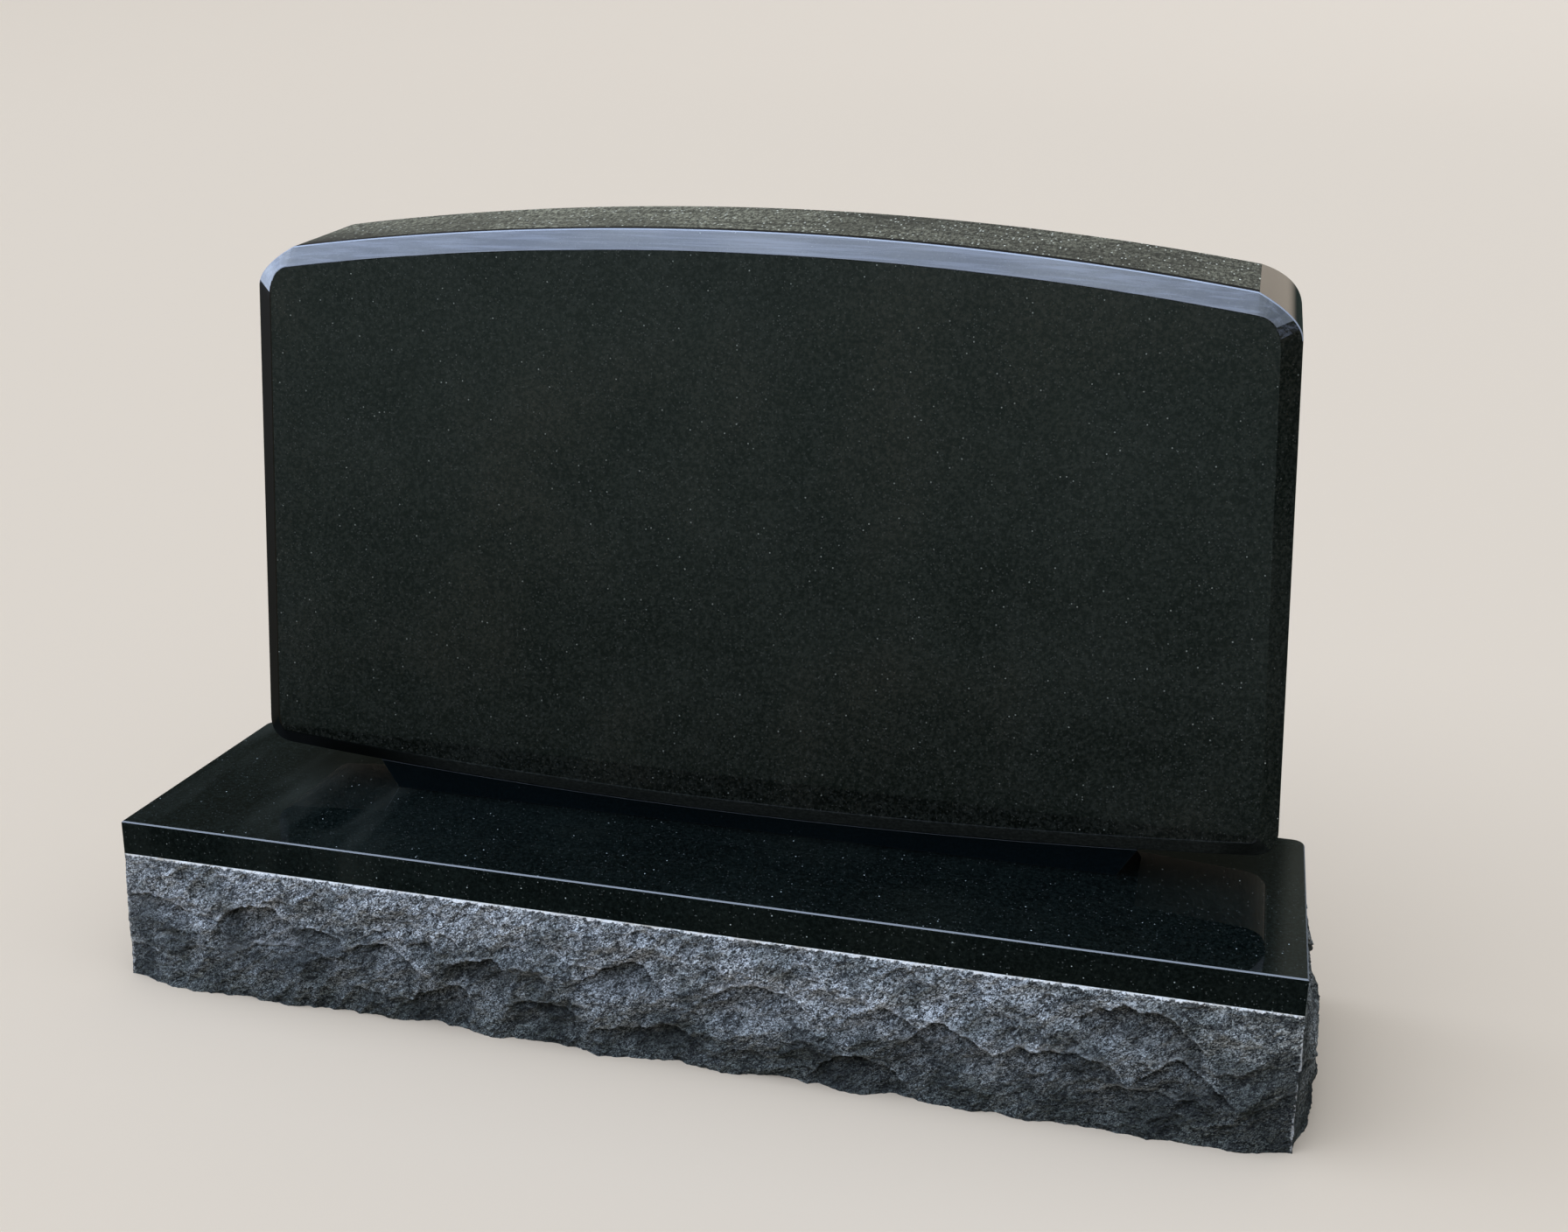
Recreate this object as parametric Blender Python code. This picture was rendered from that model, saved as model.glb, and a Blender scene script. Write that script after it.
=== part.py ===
"""Headstone: a polished black granite tablet with an arched head, bedded on a low setting
block on a base with rock-pitched sides. Metres, +Z up, front towards -Y, origin on the
ground under the middle of the base."""

import math
import random

import bmesh
import bpy
from mathutils import Vector, noise

# Base: a sawn block, polished on top and along a narrow band, rock-pitched below the band
BASE_LENGTH = 1.372
BASE_DEPTH = 0.350
BASE_HEIGHT = 0.203
BAND_HEIGHT = 0.042
BASE_ARRIS = 0.0025
BACK_CORNER_RADIUS = 0.014
FRONT_REACH = 0.026
SIDE_REACH = 0.028
CREST_DROP = 0.080
CORNER_FADE = 0.060
CORNER_SHARE = 0.12

# How the pitched rock wanders: broad and fine, as waves per metre and sideways shift
BROAD_WAVES = 16.0
BROAD_WANDER = 0.014
FINE_WAVES = 60.0
FINE_WANDER = 0.0045

# Arched flakes struck off the pitched sides, and how soon they fade in under the band
FLAKE_SPACING = 0.085
FLAKE_WIDTH = 0.055
FLAKE_DROP = 0.060
FLAKE_DEPTH = 0.006
FLAKE_LIP = 0.0035
BAND_FADE = 0.010

# Tablet: the upright slab
TABLET_HEAD_WIDTH = 1.178
TABLET_FOOT_WIDTH = 1.240
TABLET_HEIGHT = 0.684
TABLET_THICKNESS = 0.172
TABLET_SIDE_SHIFT = 0.030
BACK_LEDGE = 0.006
HEAD_RISE = 0.046
HEAD_WASH = 0.012
FOOT_SAG = 0.026
BEVEL_WIDTH = 0.0215
BEVEL_DEPTH = 0.016
TABLET_BACK_ARRIS = 0.003
SHOULDER_RUN = 0.046
SHOULDER_DROP = 0.040
SHOULDER_CLIP = 0.018
SHOULDER_WASH = 0.024
FACE_SHOULDER_DROP = 0.034
FACE_SHOULDER_CLIP = -0.006
TOE_RUN = 0.030
TOE_RISE = 0.030

# Setting block: the low piece that the tablet's bowed foot beds on
SETTING_HEIGHT = 0.0205
SETTING_TOP_LENGTH = 0.936
SETTING_FLARE = 0.022
SETTING_BACK_INSET = 0.020

# Clearance between two stones that rest on each other
BED_GAP = 0.0003

# How finely the curved and pitched surfaces are cut
HEAD_STEPS = 44
FOOT_STEPS = 32
CORNER_STEPS = 8
ROCK_PITCH = 0.012
BACK_PITCH = 0.024
ROCK_LEVELS = 12
ARC_STEPS = 4

ROCK_HEIGHT = BASE_HEIGHT - BAND_HEIGHT
TABLET_BACK_Y = BASE_DEPTH / 2 - BACK_LEDGE
TABLET_FRONT_Y = TABLET_BACK_Y - TABLET_THICKNESS
TABLET_FOOT_Z = BASE_HEIGHT + BED_GAP + SETTING_HEIGHT + BED_GAP
TABLET_HEAD_Z = TABLET_FOOT_Z + TABLET_HEIGHT


def make_material(name, colour, roughness):
    material = bpy.data.materials.new(name)
    material.use_nodes = True
    shader = material.node_tree.nodes["Principled BSDF"]
    shader.inputs["Base Color"].default_value = (*colour, 1.0)
    shader.inputs["Roughness"].default_value = roughness
    shader.inputs["Metallic"].default_value = 0.0
    return material


def new_rim(bm, points):
    """Closed face on the given corners; its corners are the first rim."""
    rim = [bm.verts.new(point) for point in points]
    bm.faces.new(rim)
    return rim


def grow_rim(bm, rim, points):
    """Extrudes the open rim once and carries the new corners to the given points."""
    edges = [bm.edges.get(pair) for pair in zip(rim, rim[1:] + rim[:1])]
    made = bmesh.ops.extrude_edge_only(bm, edges=edges)["geom"]
    fresh = {item for item in made if isinstance(item, bmesh.types.BMVert)}
    grown = []
    for corner, point in zip(rim, points):
        near = [edge.other_vert(corner) for edge in corner.link_edges]
        copy = next(vertex for vertex in near if vertex in fresh)
        copy.co = point
        grown.append(copy)
    return grown


def finish_piece(bm, name, material, smooth_angle):
    bmesh.ops.recalc_face_normals(bm, faces=bm.faces[:])
    mesh = bpy.data.meshes.new(name)
    bm.to_mesh(mesh)
    bm.free()
    mesh.shade_smooth()
    mesh.set_sharp_from_angle(angle=math.radians(smooth_angle))
    piece = bpy.data.objects.new(name, mesh)
    piece.data.materials.append(material)
    bpy.context.scene.collection.objects.link(piece)
    return piece


def arc_drop(x, half_width, rise):
    """How far a circular arc of this half width and rise has fallen at x from its middle."""
    radius = (half_width ** 2 + rise ** 2) / (2 * rise)
    return radius - math.sqrt(radius ** 2 - min(abs(x), radius) ** 2)


def foot_rise(x):
    """Height of the tablet's bowed underside above its lowest point."""
    return arc_drop(x, TABLET_FOOT_WIDTH / 2, FOOT_SAG)


def curve_points(start, control, end, steps):
    """Quadratic curve from start to end, without its last point."""
    start, control, end = Vector(start), Vector(control), Vector(end)
    points = []
    for step in range(steps):
        t = step / steps
        points.append(start * (1 - t) ** 2 + control * 2 * t * (1 - t) + end * t ** 2)
    return points


def tablet_outline(inset, washed=False):
    """Outline of the slab in x and z, shrunk by inset. Its back has a raised, fuller head."""
    wash = HEAD_WASH if washed else 0.0
    lift = SHOULDER_WASH if washed else 0.0
    head_half = TABLET_HEAD_WIDTH / 2 - inset
    foot_half = TABLET_FOOT_WIDTH / 2 - inset
    head_z = TABLET_HEAD_Z + wash - inset
    toe_z = TABLET_FOOT_Z + FOOT_SAG + inset
    shoulder_z = TABLET_HEAD_Z - HEAD_RISE - inset
    run = SHOULDER_RUN - inset

    def side_x(z):
        return foot_half + (head_half - foot_half) * (z - toe_z) / (shoulder_z - toe_z)

    def head_point(x):
        return x, head_z - arc_drop(x, TABLET_HEAD_WIDTH / 2, HEAD_RISE)

    def foot_point(x):
        return x, TABLET_FOOT_Z + inset + foot_rise(x)

    share = inset / BEVEL_WIDTH
    clip = SHOULDER_CLIP + (FACE_SHOULDER_CLIP - SHOULDER_CLIP) * share
    drop = SHOULDER_DROP + (FACE_SHOULDER_DROP - SHOULDER_DROP) * share
    clip_z = shoulder_z + lift - clip
    drop_z = shoulder_z + wash - drop
    break_x = head_half - run
    heel_x = foot_half - (TOE_RUN - inset)
    right = []
    for step in range(HEAD_STEPS // 2):
        right.append(Vector(head_point(break_x * step / (HEAD_STEPS // 2))))
    clip_point, drop_point = (side_x(clip_z), clip_z), (side_x(drop_z), drop_z)
    right += curve_points(head_point(break_x), clip_point, drop_point, CORNER_STEPS)
    right.append(Vector(drop_point))
    toe_top = toe_z + TOE_RISE
    right += curve_points((side_x(toe_top), toe_top), (foot_half, toe_z), foot_point(heel_x), CORNER_STEPS)
    for step in range(FOOT_STEPS // 2 + 1):
        right.append(Vector(foot_point(heel_x * (1 - step / (FOOT_STEPS // 2)))))
    left = [Vector((-point.x, point.y)) for point in reversed(right[1:-1])]
    return right + left


def build_tablet(material):
    bm = bmesh.new()
    body_y = TABLET_FRONT_Y + BEVEL_DEPTH
    heel_y = TABLET_BACK_Y - TABLET_BACK_ARRIS

    def place(outline, y):
        return [(TABLET_SIDE_SHIFT + point.x, y, point.y) for point in outline]

    rim = new_rim(bm, place(tablet_outline(BEVEL_WIDTH), TABLET_FRONT_Y))
    rim = grow_rim(bm, rim, place(tablet_outline(0.0), body_y))
    rim = grow_rim(bm, rim, place(tablet_outline(0.0, True), heel_y))
    rim = grow_rim(bm, rim, place(tablet_outline(TABLET_BACK_ARRIS, True), TABLET_BACK_Y))
    bm.faces.new(rim)
    return finish_piece(bm, "tablet", material, 12)


def build_setting_block(material):
    bm = bmesh.new()
    front_y = TABLET_FRONT_Y + BEVEL_DEPTH
    back_y = TABLET_BACK_Y - SETTING_BACK_INSET
    bed_z = BASE_HEIGHT + BED_GAP
    top_half = SETTING_TOP_LENGTH / 2
    foot_half = top_half - SETTING_FLARE
    outline = [(-foot_half, bed_z), (foot_half, bed_z)]
    for step in range(FOOT_STEPS + 1):
        x = top_half * (1 - 2 * step / FOOT_STEPS)
        outline.append((x, bed_z + SETTING_HEIGHT + foot_rise(x)))
    rim = new_rim(bm, [(TABLET_SIDE_SHIFT + x, front_y, z) for x, z in outline])
    rim = grow_rim(bm, rim, [(TABLET_SIDE_SHIFT + x, back_y, z) for x, z in outline])
    bm.faces.new(rim)
    return finish_piece(bm, "setting_block", material, 12)


def ease(value):
    value = min(max(value, 0.0), 1.0)
    return value * value * (3 - 2 * value)


def pitching_scars(length, seed):
    """Shallow bowls left where flakes were struck off one face: an upper and a lower row.
    Each is its place along the face, its height, its half width, half height and floor."""
    draw = random.Random(seed)
    scars = []
    rows = (
        (0.150, 0.80, 0.10, 0.42, 0.28),
        (0.125, 0.10, 0.12, 0.52, 0.62),
        (0.210, 0.45, 0.10, 0.30, 0.80),
    )
    for spacing, height, wander, tall, floor in rows:
        count = max(2, round(length / spacing))
        for index in range(count):
            along = (index + 0.5 + draw.uniform(-0.3, 0.3)) * length / count
            level = ROCK_HEIGHT * (height + draw.uniform(-wander, wander))
            half_width = length / count * draw.uniform(0.55, 0.85)
            half_height = ROCK_HEIGHT * tall * draw.uniform(0.75, 1.15)
            scars.append((along, level, half_width, half_height, floor * draw.uniform(0.7, 1.1)))
    return scars


def spall_flakes(length, seed):
    """Arched flakes: place along the face, lip height, half width, drop, depth and lean."""
    draw = random.Random(seed * 7 + 3)
    flakes = []
    for index in range(max(2, round(length / FLAKE_SPACING))):
        along = (index + draw.uniform(0.0, 1.0)) * FLAKE_SPACING
        lip = draw.uniform(0.35, 0.75) * ROCK_HEIGHT
        flakes.append((along, lip, FLAKE_WIDTH * draw.uniform(0.6, 1.3), FLAKE_DROP * draw.uniform(0.6, 1.3),
                       FLAKE_DEPTH * draw.uniform(0.4, 1.2), draw.uniform(-0.5, 0.5)))
    return flakes


def flake_depth(along, z, flakes):
    depth = 0.0
    for place, lip, half_width, drop, deep, lean in flakes:
        down = (lip - z) / drop
        across = (along - place - lean * (lip - z)) / half_width
        arch = 0.45 * across * across
        if abs(across) >= 1.0 or not arch < down < 1.0:
            continue
        fall = (down - arch) / (1.0 - arch)
        ramp = min(1.0, (down - arch) * drop / FLAKE_LIP)
        depth = max(depth, deep * ramp * (1.0 - fall) * math.sqrt(1.0 - across * across))
    return depth


def rock_stand(along, z, length, reach, seed, scars, flakes):
    """How far the rock stands out at one place on a face."""
    spot = Vector((along, z, seed * 3.7))
    wander = noise.noise_vector(spot * BROAD_WAVES) * BROAD_WANDER
    wander += noise.noise_vector(spot * FINE_WAVES) * FINE_WANDER
    place_along, place_z = along + wander.x, z + wander.y
    share = min(1.0, ((ROCK_HEIGHT - z) / CREST_DROP) ** 0.9)
    for place, level, half_width, half_height, floor in scars:
        bowl = ((place_along - place) / half_width) ** 2 + ((place_z - level) / half_height) ** 2
        share = min(share, floor + (1.0 - floor) * bowl)
    fade = ease(min(along, length - along) / CORNER_FADE)
    flake = flake_depth(place_along, place_z, flakes) * min(1.0, (ROCK_HEIGHT - z) / BAND_FADE)
    return (reach * share - flake) * (CORNER_SHARE + (1.0 - CORNER_SHARE) * fade)


def face_run(start, end, outward, pitch, reach, seed):
    """Points along one side of the base with the way that its rock stands out."""
    start, end, outward = Vector(start), Vector(end), Vector(outward)
    length = (end - start).length
    steps = max(4, round(length / pitch))
    scars, flakes = pitching_scars(length, seed), spall_flakes(length, seed)
    levels = [ROCK_HEIGHT * (1 - level / ROCK_LEVELS) for level in range(ROCK_LEVELS + 1)]
    stands = [[rock_stand(length * step / steps, z, length, reach, seed, scars, flakes) for z in levels]
              for step in range(steps + 1)]
    highest = max(max(row) for row in stands)
    run = []
    for step, row in enumerate(stands):
        point = start.lerp(end, step / steps)
        run.append((point, outward, [reach * stand / highest for stand in row]))
    return run


def corner_run(centre, from_angle, stand_out):
    """Points round one back corner, between the two sides that meet there."""
    run = []
    for step in range(1, ARC_STEPS):
        angle = math.radians(from_angle + 90 * step / ARC_STEPS)
        outward = Vector((math.cos(angle), math.sin(angle)))
        run.append((Vector(centre) + outward * BACK_CORNER_RADIUS, outward, stand_out))
    return run


def base_perimeter():
    """Every point round the base, anticlockwise from the front left corner."""
    # The rock's wander follows the clock unless the noise has a seed of its own
    noise.seed_set(1795828421)
    half_x, half_y = BASE_LENGTH / 2, BASE_DEPTH / 2
    turn = BACK_CORNER_RADIUS
    front = face_run((-half_x, -half_y), (half_x, -half_y), (0, -1), ROCK_PITCH, FRONT_REACH, 11)
    right = face_run((half_x, -half_y), (half_x, half_y - turn), (1, 0), ROCK_PITCH, SIDE_REACH, 23)
    back = face_run((half_x - turn, half_y), (turn - half_x, half_y), (0, 1), BACK_PITCH, FRONT_REACH, 37)
    left = face_run((-half_x, half_y - turn), (-half_x, -half_y), (-1, 0), ROCK_PITCH, SIDE_REACH, 41)
    right_turn = corner_run((half_x - turn, half_y - turn), 0, right[-1][2])
    left_turn = corner_run((turn - half_x, half_y - turn), 90, back[-1][2])
    right_corner = (front[-1][0], Vector((1, -1)), front[-1][2])
    left_corner = (front[0][0], Vector((-1, -1)), front[0][2])
    return [left_corner, *front[1:-1], right_corner, *right[1:], *right_turn, *back, *left_turn, *left[:-1]]


def build_base(material):
    bm = bmesh.new()
    perimeter = base_perimeter()
    top_scale_x = 1 - 2 * BASE_ARRIS / BASE_LENGTH
    top_scale_y = 1 - 2 * BASE_ARRIS / BASE_DEPTH
    top = [(point.x * top_scale_x, point.y * top_scale_y, BASE_HEIGHT) for point, _, _ in perimeter]
    rim = new_rim(bm, top)
    for z in (BASE_HEIGHT - BASE_ARRIS, ROCK_HEIGHT):
        rim = grow_rim(bm, rim, [(point.x, point.y, z) for point, _, _ in perimeter])
    for level in range(1, ROCK_LEVELS + 1):
        z = ROCK_HEIGHT * (1 - level / ROCK_LEVELS)
        ring = [point + outward * stand_out[level] for point, outward, stand_out in perimeter]
        rim = grow_rim(bm, rim, [(point.x, point.y, z) for point in ring])
    bm.faces.new(rim)
    return finish_piece(bm, "base", material, 25)


def main():
    for item in list(bpy.data.objects):
        bpy.data.objects.remove(item)
    build_base(make_material("rock pitched granite", (0.060, 0.066, 0.070), 0.65))
    build_setting_block(make_material("dark setting granite", (0.006, 0.009, 0.013), 0.20))
    build_tablet(make_material("polished black granite", (0.010, 0.012, 0.011), 0.10))


main()
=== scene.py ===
import math
import random

import bmesh
import bpy
from mathutils import Matrix, Vector, noise


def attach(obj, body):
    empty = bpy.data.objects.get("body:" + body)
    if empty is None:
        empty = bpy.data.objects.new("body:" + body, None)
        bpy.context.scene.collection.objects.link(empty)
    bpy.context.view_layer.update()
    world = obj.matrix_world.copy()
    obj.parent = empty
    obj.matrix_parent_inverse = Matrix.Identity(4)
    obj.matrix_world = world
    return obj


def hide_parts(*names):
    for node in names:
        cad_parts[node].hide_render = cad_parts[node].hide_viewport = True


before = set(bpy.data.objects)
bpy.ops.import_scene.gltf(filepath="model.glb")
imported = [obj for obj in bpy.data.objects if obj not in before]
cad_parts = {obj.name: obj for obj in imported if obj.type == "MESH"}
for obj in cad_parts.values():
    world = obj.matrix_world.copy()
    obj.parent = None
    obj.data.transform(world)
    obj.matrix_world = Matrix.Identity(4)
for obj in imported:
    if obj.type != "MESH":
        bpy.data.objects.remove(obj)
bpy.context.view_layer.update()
print("frame loaded")


# Camera, at the photograph's place

cameraView = {
    "place": (0.568, -1.898, 1.107),
    "turn": 14.32,           # degrees to the left of straight ahead
    "dip": 17.73,
    "roll": 0.93,
    "focalPixels": 2064.0,   # in the photograph's own pixels
    "photoWidth": 1792,
    "sensor": 36.0,
}


def makeCamera(values):
    data = bpy.data.cameras.new("camera")
    data.sensor_width = values["sensor"]
    data.lens = values["focalPixels"] / values["photoWidth"] * values["sensor"]
    camera = bpy.data.objects.new("camera", data)
    turn = Matrix.Rotation(math.radians(values["turn"]), 4, "Z")
    dip = Matrix.Rotation(math.radians(90 - values["dip"]), 4, "X")
    roll = Matrix.Rotation(math.radians(values["roll"]), 4, "Z")
    camera.matrix_world = Matrix.Translation(values["place"]) @ turn @ dip @ roll
    bpy.context.scene.collection.objects.link(camera)
    bpy.context.scene.camera = camera


makeCamera(cameraView)
print("camera placed")


# Node helpers

def addNode(tree, kind, inputs=None, **settings):
    node = tree.nodes.new(kind)
    for name, value in settings.items():
        setattr(node, name, value)
    for name, value in (inputs or {}).items():
        node.inputs[name].default_value = value
    return node


def newMaterial(name):
    material = bpy.data.materials.new(name)
    material.use_nodes = True
    tree = material.node_tree
    return material, tree, tree.nodes["Principled BSDF"]


def objectPlace(tree):
    return addNode(tree, "ShaderNodeTexCoord").outputs["Object"]


def noiseOf(tree, place, scale, detail=3.0, roughness=0.55, distortion=0.0):
    node = addNode(tree, "ShaderNodeTexNoise", {
        "Scale": scale, "Detail": detail, "Roughness": roughness, "Distortion": distortion})
    tree.links.new(place, node.inputs["Vector"])
    return node.outputs["Fac"]


def rangeOf(tree, value, low, high, toLow=0.0, toHigh=1.0, smooth=True):
    node = addNode(tree, "ShaderNodeMapRange", {
        "From Min": low, "From Max": high, "To Min": toLow, "To Max": toHigh})
    node.interpolation_type = "SMOOTHSTEP" if smooth else "LINEAR"
    tree.links.new(value, node.inputs["Value"])
    return node.outputs["Result"]


def mathOf(tree, operation, first, second=0.0):
    node = addNode(tree, "ShaderNodeMath", operation=operation)
    for socket, value in zip(node.inputs, (first, second)):
        if isinstance(value, (int, float)):
            socket.default_value = value
        else:
            tree.links.new(value, socket)
    return node.outputs["Value"]


def productOf(tree, first, second):
    return mathOf(tree, "MULTIPLY", first, second)


def sumOf(tree, first, second):
    return mathOf(tree, "ADD", first, second)


def mixOf(tree, factor, first, second):
    node = addNode(tree, "ShaderNodeMix", data_type="RGBA")
    tree.links.new(factor, node.inputs[0])
    for socket, value in ((node.inputs[6], first), (node.inputs[7], second)):
        if isinstance(value, (tuple, list)):
            socket.default_value = (*value, 1.0)
        else:
            tree.links.new(value, socket)
    return node.outputs[2]


def shadeOf(tree, factor, colour, tint):
    node = addNode(tree, "ShaderNodeMix", data_type="RGBA", blend_type="MULTIPLY")
    tree.links.new(factor, node.inputs[0])
    tree.links.new(colour, node.inputs[6])
    node.inputs[7].default_value = (*tint, 1.0)
    return node.outputs[2]


def specksOf(tree, place, scale, size, share):
    cells = addNode(tree, "ShaderNodeTexVoronoi", {"Scale": scale})
    tree.links.new(place, cells.inputs["Vector"])
    parts = addNode(tree, "ShaderNodeSeparateColor")
    tree.links.new(cells.outputs["Color"], parts.inputs["Color"])
    near = rangeOf(tree, cells.outputs["Distance"], size * 0.5, size, 1.0, 0.0)
    chosen = mathOf(tree, "GREATER_THAN", parts.outputs["Red"], 1.0 - share)
    strength = productOf(tree, chosen, parts.outputs["Green"])
    return productOf(tree, near, strength)


def axisOf(tree, place, axis):
    parts = addNode(tree, "ShaderNodeSeparateXYZ")
    tree.links.new(place, parts.inputs["Vector"])
    return parts.outputs[axis]


def attributeOf(tree, name):
    return addNode(tree, "ShaderNodeAttribute", attribute_name=name).outputs["Fac"]


def stretched(tree, place, scale):
    mapping = addNode(tree, "ShaderNodeMapping", {"Scale": scale})
    tree.links.new(place, mapping.inputs["Vector"])
    return mapping.outputs["Vector"]


def bumpOf(tree, shader, height, strength, distance):
    bump = addNode(tree, "ShaderNodeBump", {"Strength": strength, "Distance": distance})
    tree.links.new(height, bump.inputs["Height"])
    tree.links.new(bump.outputs["Normal"], shader.inputs["Normal"])


def setShader(shader, roughness, gloss):
    shader.inputs["Roughness"].default_value = roughness
    shader.inputs["Specular IOR Level"].default_value = gloss


def linkPiece(name, bm, materials):
    mesh = bpy.data.meshes.new(name)
    bm.to_mesh(mesh)
    bm.free()
    piece = bpy.data.objects.new(name, mesh)
    bpy.context.scene.collection.objects.link(piece)
    for material in materials:
        mesh.materials.append(material)
    return piece


# Polished finishes. In all the looks a noise is given as its scale, detail, roughness and
# distortion, a range as its two ends and then what they turn into, and specks as their
# scale, size and share.

polishGrain = {
    "clouds": (6.0, 5.0, 0.6),
    "cloudRange": (0.35, 0.68),
    "cloudShare": 0.30,
    "grain": (230.0, 3.0, 0.85),
    "grainRange": (0.42, 0.62),
    "grainShare": 0.70,
    "warmth": (3.1, 3.0),
    "warmRange": (0.45, 0.66, 0.0, 0.45),
    "warmDark": (1.5, 1.05, 0.8),
    "warmLight": (1.35, 1.02, 0.85),
    "fineSpecks": (430.0, 0.42),
    "fineStrength": (0.13, 0.13, 0.13),
    "rareSpecks": (150.0, 0.15),
    "paleBand": (1.0, 3.0),
    "paleBandStretch": (9.0, 2.2, 1.0),
    "paleBandRange": (0.46, 0.70),
    "paleBandEnd": (-0.46, -0.30, 1.0, 0.0),
    "streaks": (3.0, 4.0, 0.65),
    "streakStretch": (1.8, 60.0, 60.0),
    "streakRange": (0.40, 0.66),
}
faceLook = {
    "dark": (0.0010, 0.0016, 0.0010),
    "light": (0.0165, 0.0190, 0.0160),
    "speck": (0.36, 0.38, 0.34),
    "rareShare": 0.12,
    "fineShare": 0.16,
    "roughness": 0.05,
    "gloss": 1.0,
}
bevelLook = {**faceLook, "rareShare": 0.08, "streakReflectionTint": (0.060, 0.066, 0.078)}
baseLook = {
    "dark": (0.0008, 0.0016, 0.0015),
    "light": (0.0066, 0.0100, 0.0090),
    "speck": (0.50, 0.56, 0.53),
    "rareShare": 0.09,
    "fineShare": 0.10,
    "paleStreak": (0.020, 0.023, 0.0195),
    "roughness": 0.04,
    "gloss": 0.6,
}
settingLook = {
    "dark": (0.0008, 0.0024, 0.0030),
    "light": (0.0020, 0.0048, 0.0062),
    "speck": (0.03, 0.035, 0.04),
    "rareShare": 0.02,
    "fineShare": 0.16,
    "roughness": 0.14,
    "gloss": 0.5,
}


def tinted(colour, factors):
    return [channel * factor for channel, factor in zip(colour, factors)]


def makePolish(name, values, form):
    material, tree, shader = newMaterial(name)
    place = objectPlace(tree)
    dark, light, speck = values["dark"], values["light"], values["speck"]
    clouds = rangeOf(tree, noiseOf(tree, place, *form["clouds"]), *form["cloudRange"])
    grain = rangeOf(tree, noiseOf(tree, place, *form["grain"]), *form["grainRange"])
    blend = sumOf(tree, productOf(tree, clouds, form["cloudShare"]),
                  productOf(tree, grain, form["grainShare"]))
    stone = mixOf(tree, blend, dark, light)
    warm = rangeOf(tree, noiseOf(tree, place, *form["warmth"]), *form["warmRange"])
    tint = mixOf(tree, blend, tinted(dark, form["warmDark"]), tinted(light, form["warmLight"]))
    stone = mixOf(tree, warm, stone, tint)
    fine = specksOf(tree, place, *form["fineSpecks"], values["fineShare"])
    stone = mixOf(tree, fine, stone, tinted(speck, form["fineStrength"]))
    rare = specksOf(tree, place, *form["rareSpecks"], values["rareShare"])
    stone = mixOf(tree, rare, stone, speck)
    # Paler streaks on the base top, towards its left end
    if "paleStreak" in values:
        across = stretched(tree, place, form["paleBandStretch"])
        paleBand = rangeOf(tree, noiseOf(tree, across, *form["paleBand"]), *form["paleBandRange"])
        leftEnd = rangeOf(tree, axisOf(tree, place, "X"), *form["paleBandEnd"])
        stone = mixOf(tree, productOf(tree, paleBand, leftEnd), stone, values["paleStreak"])
    # Light bluish streaks along the bevel: a painted reflection of a streaky sky
    if "streakReflectionTint" in values:
        along = stretched(tree, place, form["streakStretch"])
        streakReflection = rangeOf(tree, noiseOf(tree, along, *form["streaks"]), *form["streakRange"])
        stone = mixOf(tree, streakReflection, stone, values["streakReflectionTint"])
    tree.links.new(stone, shader.inputs["Base Color"])
    setShader(shader, values["roughness"], values["gloss"])
    return material


facePolish = makePolish("polished black granite", faceLook, polishGrain)
bevelPolish = makePolish("polished bevel", bevelLook, polishGrain)
basePolish = makePolish("polished base granite", baseLook, polishGrain)
settingPolish = makePolish("dark setting granite", settingLook, polishGrain)


# Honed head, with painted shade towards its right end and a painted dark reflection at the front
# of its left end

honedLook = {
    "dark": (0.024, 0.0230, 0.0135),
    "light": (0.245, 0.228, 0.150),
    "speck": (0.60, 0.58, 0.45),
    "headRightShade": (0.62, 0.62, 0.62),
    "darkReflectionTint": (0.22, 0.22, 0.19),
    "grain": (260.0, 4.0, 0.85),
    "grainStretch": (1.0, 0.4, 1.0),
    "grainRange": (0.42, 0.62),
    "drift": (8.0, 4.0),
    "driftRange": (0.38, 0.66),
    "driftShare": 0.55,
    "streaks": (3.0, 4.0, 0.6),
    "streakStretch": (2.4, 26.0, 2.4),
    "streakRange": (0.54, 0.62),
    "streakShare": 0.75,
    "specks": (300.0, 0.40, 0.24),
    "headRightShadeAlong": (-0.05, 0.28),
    "darkReflectionAlong": (-0.52, -0.22, 1.0, 0.0),
    "darkReflectionAcross": (0.030, 0.085, 1.0, 0.0),
    "bump": (0.35, 0.0005),
    "roughness": 0.50,
    "gloss": 0.25,
}


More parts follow.
